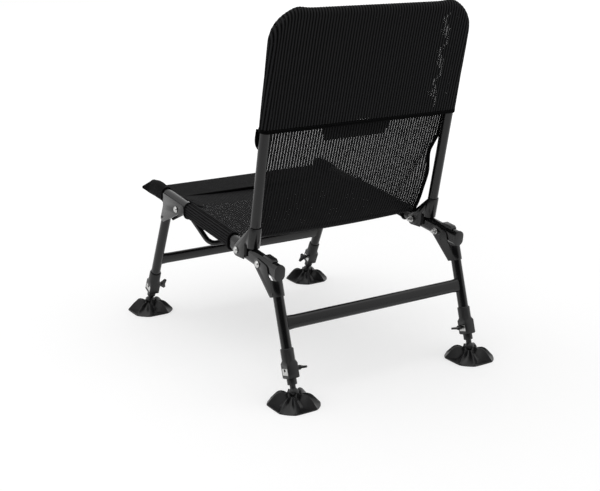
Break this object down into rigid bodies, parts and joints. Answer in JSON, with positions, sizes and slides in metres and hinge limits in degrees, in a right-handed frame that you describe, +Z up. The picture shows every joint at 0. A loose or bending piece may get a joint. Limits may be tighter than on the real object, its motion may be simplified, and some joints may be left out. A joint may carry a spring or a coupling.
{
  "type": "folding fishing chair",
  "caption": "Low folding fishing chair with a mesh seat, a tall hooded backrest that folds forward, and folding legs with adjustable lengths and tilting mud feet.",
  "frame": {"origin": "on the floor, midway between the four feet", "axes": "+Z up, -Y to the front of the chair, where the sitter faces, +X to the sitter's left"},
  "size_m": [0.5558, 0.7498, 0.7695],
  "materials": {
    "paint": "satin black powder coat",
    "zinc": "bright zinc plate",
    "plastic": "moulded matte black",
    "mesh_cloth": "ribbed see-through mesh",
    "patch_cloth": "plain woven"
  },
  "bodies": {
    "seat_frame": {"seat_rail_left": "paint", "seat_rail_right": "paint", "front_cross_tube": "paint", "seat_brace": "paint", "rail_end_cap_left": "plastic", "rail_end_cap_right": "plastic", "rail_pad_left": "plastic", "rail_pad_right": "plastic", "backrest_stop_left": "plastic", "backrest_stop_right": "plastic", "backrest_bolt_left": "zinc", "backrest_bolt_right": "zinc", "rear_leg_bolt_left": "zinc", "rear_leg_bolt_right": "zinc", "front_leg_bolt_left": "zinc", "front_leg_bolt_right": "zinc", "seat_panel": "mesh_cloth", "seat_front_hood": "mesh_cloth", "seat_sleeve_left": "mesh_cloth", "seat_sleeve_right": "mesh_cloth"},
    "backrest": {"backrest_tube": "paint", "backrest_bracket_left": "paint", "backrest_bracket_right": "paint", "backrest_hood": "mesh_cloth", "back_panel": "mesh_cloth", "back_patch": "patch_cloth"},
    "rear_leg_frame": {"rear_crossbar": "paint", "leg_rear_left": "paint", "leg_rear_right": "paint", "leg_bracket_rear_left": "paint", "leg_bracket_rear_right": "paint", "leg_clamp_rear_left": "plastic", "leg_clamp_rear_right": "plastic", "clamp_nut_rear_left": "zinc", "clamp_nut_rear_right": "zinc"},
    "front_leg_frame": {"front_crossbar": "paint", "leg_front_left": "paint", "leg_front_right": "paint", "leg_bracket_front_left": "paint", "leg_bracket_front_right": "paint", "leg_clamp_front_left": "plastic", "leg_clamp_front_right": "plastic", "clamp_nut_front_left": "zinc", "clamp_nut_front_right": "zinc"},
    "inner_leg_rear_left": {"inner_leg_rear_left": "paint", "ball_stem_rear_left": "plastic"},
    "inner_leg_rear_right": {"inner_leg_rear_right": "paint", "ball_stem_rear_right": "plastic"},
    "inner_leg_front_left": {"inner_leg_front_left": "paint", "ball_stem_front_left": "plastic"},
    "inner_leg_front_right": {"inner_leg_front_right": "paint", "ball_stem_front_right": "plastic"},
    "wing_screw_rear_left": {"wing_screw_rear_left": "plastic"},
    "wing_screw_rear_right": {"wing_screw_rear_right": "plastic"},
    "wing_screw_front_left": {"wing_screw_front_left": "plastic"},
    "wing_screw_front_right": {"wing_screw_front_right": "plastic"},
    "mud_foot_rear_left": {"mud_foot_rear_left": "plastic"},
    "mud_foot_rear_right": {"mud_foot_rear_right": "plastic"},
    "mud_foot_front_left": {"mud_foot_front_left": "plastic"},
    "mud_foot_front_right": {"mud_foot_front_right": "plastic"}
  },
  "joints": [
    {"name": "backrest_fold", "type": "hinge", "parent": "seat_frame", "child": "backrest", "pos_m": [0, 0.1247, 0.2715], "axis": [1, 0, 0], "range_deg": [0, 92]},
    {"name": "rear_legs_fold", "type": "hinge", "parent": "seat_frame", "child": "rear_leg_frame", "pos_m": [0, 0.20995, 0.26369], "axis": [-1, 0, 0], "range_deg": [0, 90]},
    {"name": "front_legs_fold", "type": "hinge", "parent": "seat_frame", "child": "front_leg_frame", "pos_m": [0, -0.1459, 0.29632], "axis": [1, 0, 0], "range_deg": [0, 58]},
    {"name": "leg_slide_rear_left", "type": "slide", "parent": "rear_leg_frame", "child": "inner_leg_rear_left", "axis": [0, -0.299, 0.9542], "range_m": [-0.08, 0]},
    {"name": "leg_slide_rear_right", "type": "slide", "parent": "rear_leg_frame", "child": "inner_leg_rear_right", "axis": [0, -0.299, 0.9542], "range_m": [-0.08, 0]},
    {"name": "leg_slide_front_left", "type": "slide", "parent": "front_leg_frame", "child": "inner_leg_front_left", "axis": [0, 0.4067, 0.9135], "range_m": [-0.08, 0]},
    {"name": "leg_slide_front_right", "type": "slide", "parent": "front_leg_frame", "child": "inner_leg_front_right", "axis": [0, 0.4067, 0.9135], "range_m": [-0.08, 0]},
    {"name": "wing_turn_rear_left", "type": "hinge", "parent": "rear_leg_frame", "child": "wing_screw_rear_left", "pos_m": [0.2, 0.31224, 0.0699], "axis": [1, 0, 0], "continuous": true},
    {"name": "wing_turn_rear_right", "type": "hinge", "parent": "rear_leg_frame", "child": "wing_screw_rear_right", "pos_m": [-0.2, 0.31224, 0.0699], "axis": [1, 0, 0], "continuous": true},
    {"name": "wing_turn_front_left", "type": "hinge", "parent": "front_leg_frame", "child": "wing_screw_front_left", "pos_m": [0.2, -0.30729, 0.06802], "axis": [1, 0, 0], "continuous": true},
    {"name": "wing_turn_front_right", "type": "hinge", "parent": "front_leg_frame", "child": "wing_screw_front_right", "pos_m": [-0.2, -0.30729, 0.06802], "axis": [1, 0, 0], "continuous": true},
    {"name": "foot_tilt_rear_left", "type": "hinge", "parent": "inner_leg_rear_left", "child": "mud_foot_rear_left", "pos_m": [0.229, 0.326, 0.026], "axis": [1, 0, 0], "range_deg": [-15, 15]},
    {"name": "foot_tilt_rear_right", "type": "hinge", "parent": "inner_leg_rear_right", "child": "mud_foot_rear_right", "pos_m": [-0.229, 0.326, 0.026], "axis": [1, 0, 0], "range_deg": [-15, 15]},
    {"name": "foot_tilt_front_left", "type": "hinge", "parent": "inner_leg_front_left", "child": "mud_foot_front_left", "pos_m": [0.229, -0.326, 0.026], "axis": [1, 0, 0], "range_deg": [-15, 15]},
    {"name": "foot_tilt_front_right", "type": "hinge", "parent": "inner_leg_front_right", "child": "mud_foot_front_right", "pos_m": [-0.229, -0.326, 0.026], "axis": [1, 0, 0], "range_deg": [-15, 15]}
  ]
}
